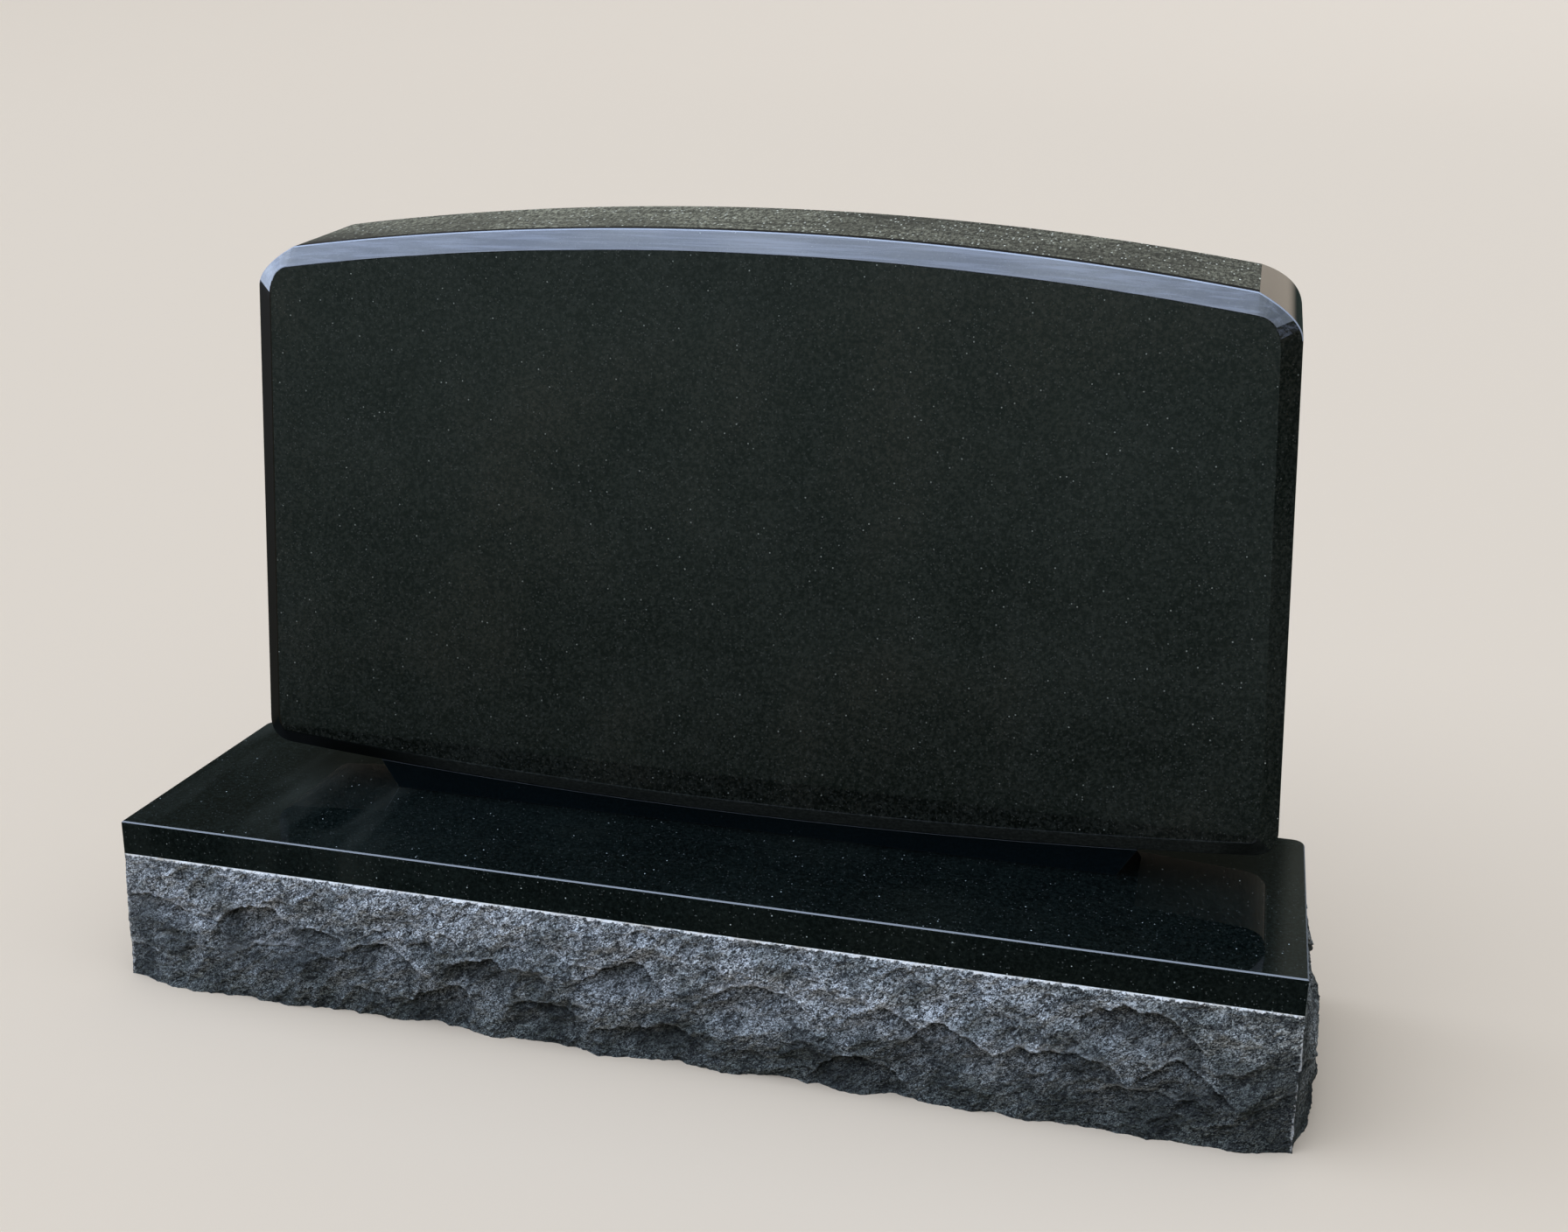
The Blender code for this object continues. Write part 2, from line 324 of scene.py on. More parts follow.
def makeHoned(name, values):
    material, tree, shader = newMaterial(name)
    place = objectPlace(tree)
    along, depth = axisOf(tree, place, "X"), axisOf(tree, place, "Y")
    across = stretched(tree, place, values["grainStretch"])
    grain = rangeOf(tree, noiseOf(tree, across, *values["grain"]), *values["grainRange"])
    drift = rangeOf(tree, noiseOf(tree, place, *values["drift"]), *values["driftRange"])
    stone = mixOf(tree, grain, values["dark"], values["light"])
    stone = mixOf(tree, productOf(tree, drift, values["driftShare"]), stone, values["dark"])
    lengthwise = stretched(tree, place, values["streakStretch"])
    streaks = rangeOf(tree, noiseOf(tree, lengthwise, *values["streaks"]), *values["streakRange"])
    stone = mixOf(tree, productOf(tree, streaks, values["streakShare"]), stone, values["dark"])
    # Painted shade: the head's top darkens towards its right end
    stone = shadeOf(tree, rangeOf(tree, along, *values["headRightShadeAlong"]), stone, values["headRightShade"])
    # Painted dark reflection along the front of the head's left end
    darkReflection = productOf(tree, rangeOf(tree, along, *values["darkReflectionAlong"]),
                     rangeOf(tree, depth, *values["darkReflectionAcross"]))
    stone = mixOf(tree, specksOf(tree, across, *values["specks"]), stone, values["speck"])
    stone = shadeOf(tree, darkReflection, stone, values["darkReflectionTint"])
    tree.links.new(stone, shader.inputs["Base Color"])
    setShader(shader, values["roughness"], values["gloss"])
    bumpOf(tree, shader, grain, *values["bump"])
    return material


honed = makeHoned("honed granite head", honedLook)


# Bevel under the face, lit along the middle and dark at the toes

footLook = {
    "dark": (0.0026, 0.0036, 0.0028),
    "light": (0.034, 0.040, 0.037),
    "litFrom": (-0.46, -0.30),
    "litTo": (0.56, 0.62, 1.0, 0.35),
    "grainShare": 0.6,
    "roughness": 0.5,
    "gloss": 0.05,
}


def makeFoot(name, values, form):
    material, tree, shader = newMaterial(name)
    place = objectPlace(tree)
    grain = rangeOf(tree, noiseOf(tree, place, *form["grain"]), *form["grainRange"])
    side = axisOf(tree, place, "X")
    lit = productOf(tree, rangeOf(tree, side, *values["litFrom"]),
                    rangeOf(tree, side, *values["litTo"]))
    mottle = sumOf(tree, productOf(tree, grain, values["grainShare"]), 1.0 - values["grainShare"])
    stone = mixOf(tree, productOf(tree, lit, mottle), values["dark"], values["light"])
    tree.links.new(stone, shader.inputs["Base Color"])
    setShader(shader, values["roughness"], values["gloss"])
    return material


footStone = makeFoot("foot bevel", footLook, polishGrain)


# Plain finishes: colour, roughness, gloss

def makePlain(name, colour, roughness, gloss):
    material, tree, shader = newMaterial(name)
    shader.inputs["Base Color"].default_value = (*colour, 1.0)
    setShader(shader, roughness, gloss)
    return material


lipStone = makePlain("shadowed lip", (0.0016, 0.0020, 0.0020), 0.5, 0.05)
# The left upright bevel and arris are a dull dark brown, painted in place of their dark reflection
leftBevelShadeStone = makePlain("left bevel painted dark", (0.0095, 0.0076, 0.0042), 0.5, 0.05)
# Pale bluish arris along the top of the face: a painted highlight
arrisHighlightStone = makePlain("painted arris highlight", (0.24, 0.27, 0.32), 0.30, 0.9)
sawnStone = makePlain("sawn underside", (0.30, 0.29, 0.25), 0.6, 0.1)
endStone = makePlain("sawn block ends", (0.0020, 0.0048, 0.0075), 0.6, 0.05)
# Pale arris along the base's top edge: a painted highlight
baseArrisHighlight = makePlain("painted base arris highlight", (0.140, 0.148, 0.152), 0.25, 0.45)
print("finishes made")


# Tablet

tabletShape = {
    "headWidth": 1.178,
    "footWidth": 1.240,
    "height": 0.684,
    "thickness": 0.172,
    "sideShift": 0.030,
    "backY": 0.169,
    "footZ": 0.2241,
    "headRise": 0.046,
    "headWash": 0.012,       # rise of the head from its front to its back
    "shoulderWash": 0.024,
    "footSag": 0.026,
    "bevelWidth": 0.0215,
    "bevelDepth": 0.016,
    "backArris": 0.003,
    "shoulderRun": 0.046,
    "shoulderDrop": 0.040,
    "shoulderClip": 0.018,
    "faceClip": -0.006,
    "faceDrop": 0.034,
    "toeRun": 0.030,
    "toeRise": 0.030,
    "headSteps": 120,
    "footSteps": 80,
    "cornerSteps": 28,
    "rub": 0.0014,
    "rubAngle": 12.0,
    "lip": 0.012,
    "arrisReach": 0.002,
    "bodyStart": 0.0015,
    "bevelEnd": 0.001,
}
# Which stone a facet shows, by the parts of its normal
tabletFacing = {
    "headUp": 0.9,
    "soleDown": -0.55,
    "footRight": -0.30,
    "footLeft": -0.08,
    "bevelUp": 0.2,
    "bevelFront": -0.6,
    "sideLeft": -0.08,
    "sideLevel": 0.12,
}
tabletStones = {
    "polish": facePolish,
    "honed": honed,
    "lip": lipStone,
    "arris": arrisHighlightStone,
    "sawn": sawnStone,
    "foot": footStone,
    "bevel": bevelPolish,
    "side": leftBevelShadeStone,
}


def arcDrop(x, halfWidth, rise):
    radius = (halfWidth ** 2 + rise ** 2) / (2 * rise)
    return radius - math.sqrt(radius ** 2 - min(abs(x), radius) ** 2)


def curvePoints(start, control, end, steps):
    start, control, end = Vector(start), Vector(control), Vector(end)
    points = []
    for step in range(steps):
        t = step / steps
        points.append(start * (1 - t) ** 2 + control * 2 * t * (1 - t) + end * t ** 2)
    return points


def tabletOutline(values, inset, washed=False):
    wash = values["headWash"] if washed else 0.0
    lift = values["shoulderWash"] if washed else 0.0
    headHalf = values["headWidth"] / 2 - inset
    footHalf = values["footWidth"] / 2 - inset
    headZ = values["footZ"] + values["height"] + wash - inset
    toeZ = values["footZ"] + values["footSag"] + inset
    shoulderZ = values["footZ"] + values["height"] - values["headRise"] - inset
    run = values["shoulderRun"] - inset

    def sideX(z):
        return footHalf + (headHalf - footHalf) * (z - toeZ) / (shoulderZ - toeZ)

    def headPoint(x):
        return x, headZ - arcDrop(x, values["headWidth"] / 2, values["headRise"])

    def footPoint(x):
        sag = arcDrop(x, values["footWidth"] / 2, values["footSag"])
        return x, values["footZ"] + inset + sag

    share = inset / values["bevelWidth"]
    clip = values["shoulderClip"] + (values["faceClip"] - values["shoulderClip"]) * share
    clipZ = shoulderZ + lift - clip
    dropZ = (shoulderZ + wash - values["shoulderDrop"]
             - (values["faceDrop"] - values["shoulderDrop"]) * share)
    breakX = headHalf - run
    heelX = footHalf - (values["toeRun"] - inset)
    toeTop = toeZ + values["toeRise"]
    halfHead, halfFoot = values["headSteps"] // 2, values["footSteps"] // 2
    steps = values["cornerSteps"]
    right = [Vector(headPoint(breakX * step / halfHead)) for step in range(halfHead)]
    right += curvePoints(headPoint(breakX), (sideX(clipZ), clipZ), (sideX(dropZ), dropZ), steps)
    right.append(Vector((sideX(dropZ), dropZ)))
    right += curvePoints((sideX(toeTop), toeTop), (footHalf, toeZ), footPoint(heelX), steps)
    right += [Vector(footPoint(heelX * (1 - step / halfFoot))) for step in range(halfFoot + 1)]
    left = [Vector((-point.x, point.y)) for point in reversed(right[1:-1])]
    return right + left


def newRim(bm, points):
    rim = [bm.verts.new(point) for point in points]
    bm.faces.new(rim)
    return rim


def growRim(bm, rim, points):
    edges = [bm.edges.get(pair) for pair in zip(rim, rim[1:] + rim[:1])]
    made = bmesh.ops.extrude_edge_only(bm, edges=edges)["geom"]
    fresh = {item for item in made if isinstance(item, bmesh.types.BMVert)}
    grown = []
    for corner, point in zip(rim, points):
        near = [edge.other_vert(corner) for edge in corner.link_edges]
        copy = next(vertex for vertex in near if vertex in fresh)
        copy.co = point
        grown.append(copy)
    return grown


def bevelEdges(bm, edges, width, segments):
    made = bmesh.ops.bevel(bm, geom=edges, offset=width, segments=segments, profile=0.5,
                           affect="EDGES", material=-1, clamp_overlap=True)
    return made["faces"]


def rubArrises(bm, width, sharpAngle, segments=3):
    limit = math.radians(sharpAngle)
    sharp = [edge for edge in bm.edges if edge.calc_face_angle(0.0) > limit]
    return bevelEdges(bm, sharp, width, segments)


def cutAcross(bm, point, normal):
    bmesh.ops.bisect_plane(bm, geom=bm.verts[:] + bm.edges[:] + bm.faces[:],
                           plane_co=point, plane_no=normal)


def finishSmooth(piece):
    piece.data.shade_smooth()
    weighted = piece.modifiers.new("weighted normals", "WEIGHTED_NORMAL")
    weighted.weight = 100
    weighted.keep_sharp = False


def stoneOf(face, values, facing, bodyY, breakX):
    middle, normal = face.calc_center_median(), face.normal
    onBody = middle.y > bodyY + values["bodyStart"]
    overHead = abs(middle.x - values["sideShift"]) < breakX
    if normal.z > facing["headUp"] and overHead and onBody:
        return "honed" if middle.y > bodyY + values["lip"] else "lip"
    if normal.z < facing["soleDown"] and onBody:
        return "sawn"
    footDown = facing["footRight"] if middle.x > 0 else facing["footLeft"]
    if normal.z < footDown and middle.y < bodyY + values["bodyStart"]:
        return "foot"
    onBevel = middle.y < bodyY - values["bevelEnd"]
    if normal.z > facing["bevelUp"] and normal.y < facing["bevelFront"] and onBevel:
        return "bevel"
    # Upright left facets by the face take the painted dark stand-in for their reflection
    upright = normal.x < facing["sideLeft"] and abs(normal.z) < facing["sideLevel"]
    if upright and middle.y < bodyY + values["arrisReach"]:
        return "side"
    return None


def makeTablet(values, stones, facing):
    bm = bmesh.new()
    frontY = values["backY"] - values["thickness"]
    bodyY = frontY + values["bevelDepth"]
    heelY = values["backY"] - values["backArris"]
    slots = {name: slot for slot, name in enumerate(stones)}

    def place(outline, y):
        return [(values["sideShift"] + point.x, y, point.y) for point in outline]

    rim = newRim(bm, place(tabletOutline(values, values["bevelWidth"]), frontY))
    rim = growRim(bm, rim, place(tabletOutline(values, 0.0), bodyY))
    rim = growRim(bm, rim, place(tabletOutline(values, 0.0, True), heelY))
    backRim = tabletOutline(values, values["backArris"], True)
    rim = growRim(bm, rim, place(backRim, values["backY"]))
    bm.faces.new(rim)
    bmesh.ops.recalc_face_normals(bm, faces=bm.faces[:])
    arrises = rubArrises(bm, values["rub"], values["rubAngle"])
    shoulderZ = values["footZ"] + values["height"] - values["headRise"] - values["shoulderDrop"]
    # The arrises along the top of the face take the painted highlight
    for face in arrises:
        middle = face.calc_center_median()
        if abs(middle.y - bodyY) < values["arrisReach"] and middle.z > shoulderZ:
            face.material_index = slots["arris"]
    cutAcross(bm, (0, bodyY + values["lip"], 0), (0, 1, 0))
    bm.normal_update()
    breakX = values["headWidth"] / 2 - values["shoulderRun"]
    for face in bm.faces:
        stone = stoneOf(face, values, facing, bodyY, breakX)
        if stone:
            face.material_index = slots[stone]
    piece = linkPiece("tablet_stone", bm, stones.values())
    finishSmooth(piece)
    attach(piece, "root")
    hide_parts("tablet")


makeTablet(tabletShape, tabletStones, tabletFacing)
print("tablet made")


# Setting block

settingShape = {
    "bedZ": 0.2033,
    "height": 0.0205,
    "topLength": 0.936,
    "flare": 0.022,
    "frontY": 0.013,
    "backY": 0.149,
    "steps": 80,
    "rub": 0.0008,
    "rubAngle": 20.0,
    "rubSegments": 2,
}


def makeSetting(values, tablet):
    bm = bmesh.new()
    topHalf = values["topLength"] / 2
    footHalf = topHalf - values["flare"]
    outline = [(-footHalf, values["bedZ"]), (footHalf, values["bedZ"])]
    for step in range(values["steps"] + 1):
        x = topHalf * (1 - 2 * step / values["steps"])
        rise = arcDrop(x, tablet["footWidth"] / 2, tablet["footSag"])
        outline.append((x, values["bedZ"] + values["height"] + rise))
    shift = tablet["sideShift"]
    rim = newRim(bm, [(shift + x, values["frontY"], z) for x, z in outline])
    rim = growRim(bm, rim, [(shift + x, values["backY"], z) for x, z in outline])
    bm.faces.new(rim)
    bmesh.ops.recalc_face_normals(bm, faces=bm.faces[:])
    rubArrises(bm, values["rub"], values["rubAngle"], values["rubSegments"])
    bm.normal_update()
    for face in bm.faces:
        if abs(face.normal.x) > 0.5:
            face.material_index = 1
    piece = linkPiece("setting_stone", bm, (settingPolish, endStone))
    finishSmooth(piece)
    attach(piece, "root")
    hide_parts("setting_block")


makeSetting(settingShape, tabletShape)
print("setting block made")


# Base

baseShape = {
    "length": 1.372,
    "depth": 0.350,
    "height": 0.203,
    "bandHeight": 0.042,
    "arris": 0.0014,
    "backRadius": 0.014,
    "backSegments": 4,
    "frontReach": 0.026,
    "sideReach": 0.028,
    "reachShare": 0.96,      # of the reach, left for the finer relief
    "crestDrop": 0.080,
    "crestCurve": 0.9,
    "cornerFade": 0.060,
    "cornerShare": 0.12,
    "cornerHold": 0.25,
    "lineFade": 0.010,
    "cell": 0.0022,
    "sideCell": 0.0026,
    "backCell": 0.0044,
    "levelCell": 0.0024,
    "near": 1e-5,
    "noiseSeed": 7,
}
# Broad scars: spacing, level, wander of the level, half height, floor
scarRows = (
    (0.150, 0.80, 0.10, 0.42, 0.28),
    (0.125, 0.10, 0.12, 0.52, 0.62),
    (0.210, 0.45, 0.10, 0.30, 0.80),
)
# Arched flakes: spacing, half width, drop, depth, lowest lip, highest lip
flakeRows = (
    (0.120, 0.060, 0.070, 0.0130, 0.52, 0.92),
    (0.130, 0.064, 0.060, 0.0125, 0.22, 0.62),
    (0.034, 0.026, 0.028, 0.0038, 0.10, 0.40),
    (0.034, 0.026, 0.028, 0.0038, 0.40, 0.70),
    (0.034, 0.026, 0.028, 0.0038, 0.70, 1.00),
    (0.015, 0.012, 0.014, 0.0018, 0.10, 0.40),
    (0.015, 0.012, 0.014, 0.0018, 0.40, 0.70),
    (0.015, 0.012, 0.014, 0.0018, 0.70, 1.00),
)
# Flakes on the pitched rock: a painted shadow below each lip, painted shade in the hollows by
# their depth, and a painted highlight just above the lip
flakeForm = {
    "arch": 0.45,
    "glintReach": 0.005,     # how far above a lip the painted highlight reaches
    "fullDepth": 0.0075,
    "lipRamp": 0.0022,
    "shadeReach": 0.012,     # how far below a lip the painted shadow reaches
    "evenShade": 0.6,
    "evenDepth": 0.007,
    "widest": 0.08,
}
# Folds: scale of the noise, height; and how the surface wanders sideways
foldRows = ((20.0, 0.0100), (52.0, 0.0038), (125.0, 0.0020), (270.0, 0.0012))
foldMean = 0.16
wanderRows = ((16.0, 0.014), (60.0, 0.0045))
rockLook = {
    "dark": (0.006, 0.0066, 0.0064),
    "light": (0.76, 0.80, 0.81),
    "crystal": (0.92, 0.94, 0.95),
    "weather": (0.40, 0.42, 0.40),
    "footDarkTint": (0.26, 0.28, 0.26),
    "paintedShadeTint": (0.22, 0.23, 0.23),
    "rightShade": (0.60, 0.60, 0.56),
    "bruise": (0.88, 0.88, 0.85),
    "slant": -0.5,
    "squash": 0.58,
    "fine": (400.0, 3.0, 0.85, 1.0),
    "fineShare": 0.7,
    "coarse": (150.0, 4.0, 0.8, 0.8),
    "coarseShare": 0.3,
    "grainRange": (0.470, 0.578),
    "creases": ((20.0, 0.09, 0.6), (52.0, 0.10, 0.4)),     # scale, width, share
    "creaseForm": (5.0, 0.62, 0.6),
    "creaseShadeRange": (0.0, 0.55, 1.0, 0.0),
    "reliefGrain": 0.45,
    "reliefSteps": 0.55,
    "specks": (240.0, 0.30, 0.20),
    "drift": (17.0, 4.0, 0.6),
    "driftRange": (0.42, 0.62),
    "driftShare": 0.8,
    "lipHighlightShare": 0.32,
    "rightShadeAlong": (0.30, 0.64),
    "footWander": -0.03,
    "footRange": (-0.01, 0.122, 1.0, 0.0),
    "ragged": (150.0, 4.0, 0.8),
    "raggedReach": 0.0150,
    "lineRange": (0.0047, 0.0060),       # above the pitching line, with the ragged reach
    "cornerStand": 0.0015,
    "cornerRange": (-0.0070, -0.0058, 1.0, 0.0),
    "cornerBruise": 0.35,
    "bruiseShare": 0.92,
    "bump": (1.0, 0.0042),
    "roughness": 0.50,
    "gloss": 0.35,
}


def rockHeightOf(shape):
    return shape["height"] - shape["bandHeight"]


def creasesOf(tree, place, values):
    parts = []
    for scale, width, share in values["creases"]:
        wave = noiseOf(tree, place, scale, *values["creaseForm"])
        ridge = mathOf(tree, "ABSOLUTE", mathOf(tree, "SUBTRACT", wave, 0.5))
        parts.append(productOf(tree, rangeOf(tree, ridge, 0.0, width, smooth=False), share))
    return sumOf(tree, *parts)


def bruiseOf(tree, place, values, shape):
    rockHeight = rockHeightOf(shape)
    ragged = productOf(tree, noiseOf(tree, place, *values["ragged"]), values["raggedReach"])
    level = sumOf(tree, axisOf(tree, place, "Z"), ragged)
    line = rangeOf(tree, level, *(rockHeight + edge for edge in values["lineRange"]))
    corner = addNode(tree, "ShaderNodeCombineXYZ")
    side = mathOf(tree, "ABSOLUTE", axisOf(tree, place, "X"))
    tree.links.new(side, corner.inputs["X"])
    tree.links.new(axisOf(tree, place, "Y"), corner.inputs["Y"])
    reach = addNode(tree, "ShaderNodeVectorMath", operation="DISTANCE")
    tree.links.new(corner.outputs["Vector"], reach.inputs[0])
    stand = values["cornerStand"]
    reach.inputs[1].default_value = (shape["length"] / 2 + stand, -shape["depth"] / 2 - stand, 0.0)
    off = mathOf(tree, "SUBTRACT", reach.outputs["Value"], ragged)
    edge = productOf(tree, rangeOf(tree, off, *values["cornerRange"]), values["cornerBruise"])
    return productOf(tree, mathOf(tree, "MAXIMUM", line, edge), values["bruiseShare"])


def makeRock(name, values, shape):
    material, tree, shader = newMaterial(name)
    place = objectPlace(tree)
    mapping = addNode(tree, "ShaderNodeMapping", vector_type="TEXTURE")
    mapping.inputs["Rotation"].default_value = (0.0, values["slant"], 0.0)
    mapping.inputs["Scale"].default_value = (1.0, 1.0, values["squash"])
    tree.links.new(place, mapping.inputs["Vector"])
    slanted = mapping.outputs["Vector"]
    fine = noiseOf(tree, slanted, *values["fine"])
    coarse = noiseOf(tree, slanted, *values["coarse"])
    mixed = sumOf(tree, productOf(tree, fine, values["fineShare"]),
                  productOf(tree, coarse, values["coarseShare"]))
    steps = creasesOf(tree, slanted, values)
    relief = sumOf(tree, productOf(tree, mixed, values["reliefGrain"]),
                   productOf(tree, steps, values["reliefSteps"]))
    grain = rangeOf(tree, mixed, *values["grainRange"])
    stone = mixOf(tree, grain, values["dark"], values["light"])
    stone = mixOf(tree, specksOf(tree, slanted, *values["specks"]), stone, values["crystal"])
    drift = rangeOf(tree, noiseOf(tree, place, *values["drift"]), *values["driftRange"])
    stone = shadeOf(tree, productOf(tree, drift, values["driftShare"]), stone, values["weather"])
    # Painted shadow under the flake lips and painted shade in their hollows
    stone = shadeOf(tree, attributeOf(tree, "recessShade"), stone, values["paintedShadeTint"])
    # Painted highlight on the upper edge of each flake lip
    lipHighlight = productOf(tree, attributeOf(tree, "lip"), values["lipHighlightShare"])
    stone = mixOf(tree, lipHighlight, stone, values["crystal"])
    # Painted shade: the rock darkens towards its right end
    rightShade = rangeOf(tree, axisOf(tree, place, "X"), *values["rightShadeAlong"])
    stone = shadeOf(tree, rightShade, stone, values["rightShade"])
    # Painted shade along the crease lines
    stone = shadeOf(tree, rangeOf(tree, steps, *values["creaseShadeRange"]), stone, values["paintedShadeTint"])
    # The rock is darker towards its foot
    height = sumOf(tree, axisOf(tree, place, "Z"), productOf(tree, drift, values["footWander"]))
    foot = rangeOf(tree, height, *values["footRange"])
    stone = shadeOf(tree, foot, stone, values["footDarkTint"])
    stone = mixOf(tree, bruiseOf(tree, place, values, shape), stone, values["bruise"])
    tree.links.new(stone, shader.inputs["Base Color"])
    setShader(shader, values["roughness"], values["gloss"])
    bumpOf(tree, shader, relief, *values["bump"])
    return material


def ease(value):
    value = min(max(value, 0.0), 1.0)
    return value * value * (3 - 2 * value)


def pitchingScars(values, length, seed):
    draw = random.Random(seed)
    rockHeight = rockHeightOf(values)
    scars = []
    for spacing, height, wander, tall, floor in scarRows:
        count = max(2, round(length / spacing))
        for index in range(count):
            along = (index + 0.5 + draw.uniform(-0.3, 0.3)) * length / count
            level = rockHeight * (height + draw.uniform(-wander, wander))
            halfWidth = length / count * draw.uniform(0.55, 0.85)
            halfHeight = rockHeight * tall * draw.uniform(0.75, 1.15)
            scars.append((along, level, halfWidth, halfHeight, floor * draw.uniform(0.7, 1.1)))
    return scars


def rockShare(values, along, z, warpedAlong, warpedZ, length, scars):
    crest = max(0.0, (rockHeightOf(values) - z) / values["crestDrop"])
    stand = min(1.0, crest ** values["crestCurve"])
    for place, level, halfWidth, halfHeight, floor in scars:
        bowl = ((warpedAlong - place) / halfWidth) ** 2 + ((warpedZ - level) / halfHeight) ** 2
        stand = min(stand, floor + (1.0 - floor) * bowl)
    edge = ease(min(along, length - along) / values["cornerFade"])
    return stand * (values["cornerShare"] + (1.0 - values["cornerShare"]) * edge)


def spallFlakes(values, length, seed):
    draw = random.Random(seed * 7 + 3)
    rockHeight = rockHeightOf(values)
    flakes = []
    for spacing, width, drop, depth, lowest, highest in flakeRows:
        for index in range(max(2, round(length / spacing))):
            along = (index + draw.uniform(0.0, 1.0)) * spacing
            flakes.append((along, draw.uniform(lowest, highest) * rockHeight,
                           width * draw.uniform(0.6, 1.3), drop * draw.uniform(0.6, 1.3),
                           depth * draw.uniform(0.4, 1.2), draw.uniform(-0.5, 0.5)))
    return flakes


# Depth of a point's flake, with the painted shade under and in it and the painted highlight above
# its lip
def flakeDepth(form, flakes, along, z):
    depth, shade, light = 0.0, 0.0, 0.0
    for place, lip, halfWidth, drop, deep, lean in flakes:
        across = (along - place - lean * (lip - z)) / halfWidth
        arch = form["arch"] * across * across
        under = lip - z - arch * drop
        if abs(across) >= 1.0 or under < -form["glintReach"] or lip - z > drop:
            continue
        share = math.sqrt(1.0 - across * across)
        strength = min(1.0, deep / form["fullDepth"]) * share
        if under <= 0.0:
            light = max(light, strength * (1.0 + under / form["glintReach"]))
            continue
        fall = under / drop / (1.0 - arch)
        lipRamp = min(1.0, under / form["lipRamp"])
        depth = max(depth, deep * lipRamp * (1.0 - fall) * share)
        shade = max(shade, strength * lipRamp * max(0.0, 1.0 - under / form["shadeReach"]))
    even = form["evenShade"] * min(1.0, depth / form["evenDepth"])
    return depth, max(shade, even), light * (1.0 - shade)


def jagged(spot):
    slant = Vector((spot.x * 0.82 + spot.y * 0.57, (spot.y * 0.82 - spot.x * 0.57) * 1.7, spot.z))
    depth = 0.0
    for scale, height in foldRows:
        depth += (foldMean - abs(noise.noise(slant * scale))) * height
    return depth


def rockWall(values, form, alongOf, length, seed, reach):
    scars = pitchingScars(values, length, seed)
    flakes = sorted(spallFlakes(values, length, seed))
    rockHeight = rockHeightOf(values)

    def standOut(point):
        along = alongOf(point)
        z = point.z
        spot = Vector((along, z, seed * 3.7))
        wander = Vector((0.0, 0.0, 0.0))
        for scale, height in wanderRows:
            wander += noise.noise_vector(spot * scale) * height
        warpedAlong, warpedZ = along + wander.x, z + wander.y
        share = rockShare(values, along, z, warpedAlong, warpedZ, length, scars)
        near = [flake for flake in flakes if abs(flake[0] - warpedAlong) < form["widest"]]
        flake, recessShade, light = flakeDepth(form, near, warpedAlong, warpedZ)
        soft = min(1.0, (rockHeight - z) / values["lineFade"])
        edge = ease(min(along, length - along) / values["cornerFade"])
        hold = values["cornerHold"] + (1.0 - values["cornerHold"]) * edge
        stand = reach * share * values["reachShare"] + (jagged(spot) - flake) * soft * hold
        return stand, recessShade, light * soft

    return standOut


def subdivideAlong(bm, axis, test, cuts):
    edges = []
    for edge in bm.edges:
        middle = (edge.verts[0].co + edge.verts[1].co) / 2
        run = edge.verts[1].co - edge.verts[0].co
        if abs(run[axis]) > 0.9 * run.length and test(middle, run):
            edges.append(edge)
    bmesh.ops.subdivide_edges(bm, edges=edges, cuts=cuts)


def squareBlock(bm, values):
    near, height = values["near"], values["height"]
    size = Matrix.Diagonal((values["length"], values["depth"], height, 1.0))
    raised = Matrix.Translation((0, 0, height / 2))
    bmesh.ops.create_cube(bm, size=1.0, matrix=raised @ size)
    backEdges = []
    for edge in bm.edges:
        first, second = (vert.co for vert in edge.verts)
        if first.y > 0 and second.y > 0 and abs(first.x - second.x) < near:
            backEdges.append(edge)
    bevelEdges(bm, backEdges, values["backRadius"], values["backSegments"])
    cutAcross(bm, (0, 0, rockHeightOf(values)), (0, 0, 1))
    topEdges = [edge for edge in bm.edges if all(vert.co.z > height - near for vert in edge.verts)]
    bevelEdges(bm, topEdges, values["arris"], 1)


def divideRock(bm, values):
    rockHeight = rockHeightOf(values)
    top = rockHeight + 1e-4
    longest = 0.1
    cuts = {name: round(span / values[name]) - 1 for name, span in (
        ("cell", values["length"]), ("backCell", values["length"]),
        ("sideCell", values["depth"]), ("levelCell", rockHeight))}

    def low(middle, run):
        return middle.z < top and run.length > longest

    subdivideAlong(bm, 0, lambda middle, run: low(middle, run) and middle.y < 0, cuts["cell"])
    subdivideAlong(bm, 0, lambda middle, run: low(middle, run) and middle.y > 0, cuts["backCell"])
    subdivideAlong(bm, 1, low, cuts["sideCell"])
    subdivideAlong(bm, 2, lambda middle, run: middle.z < rockHeight, cuts["levelCell"])


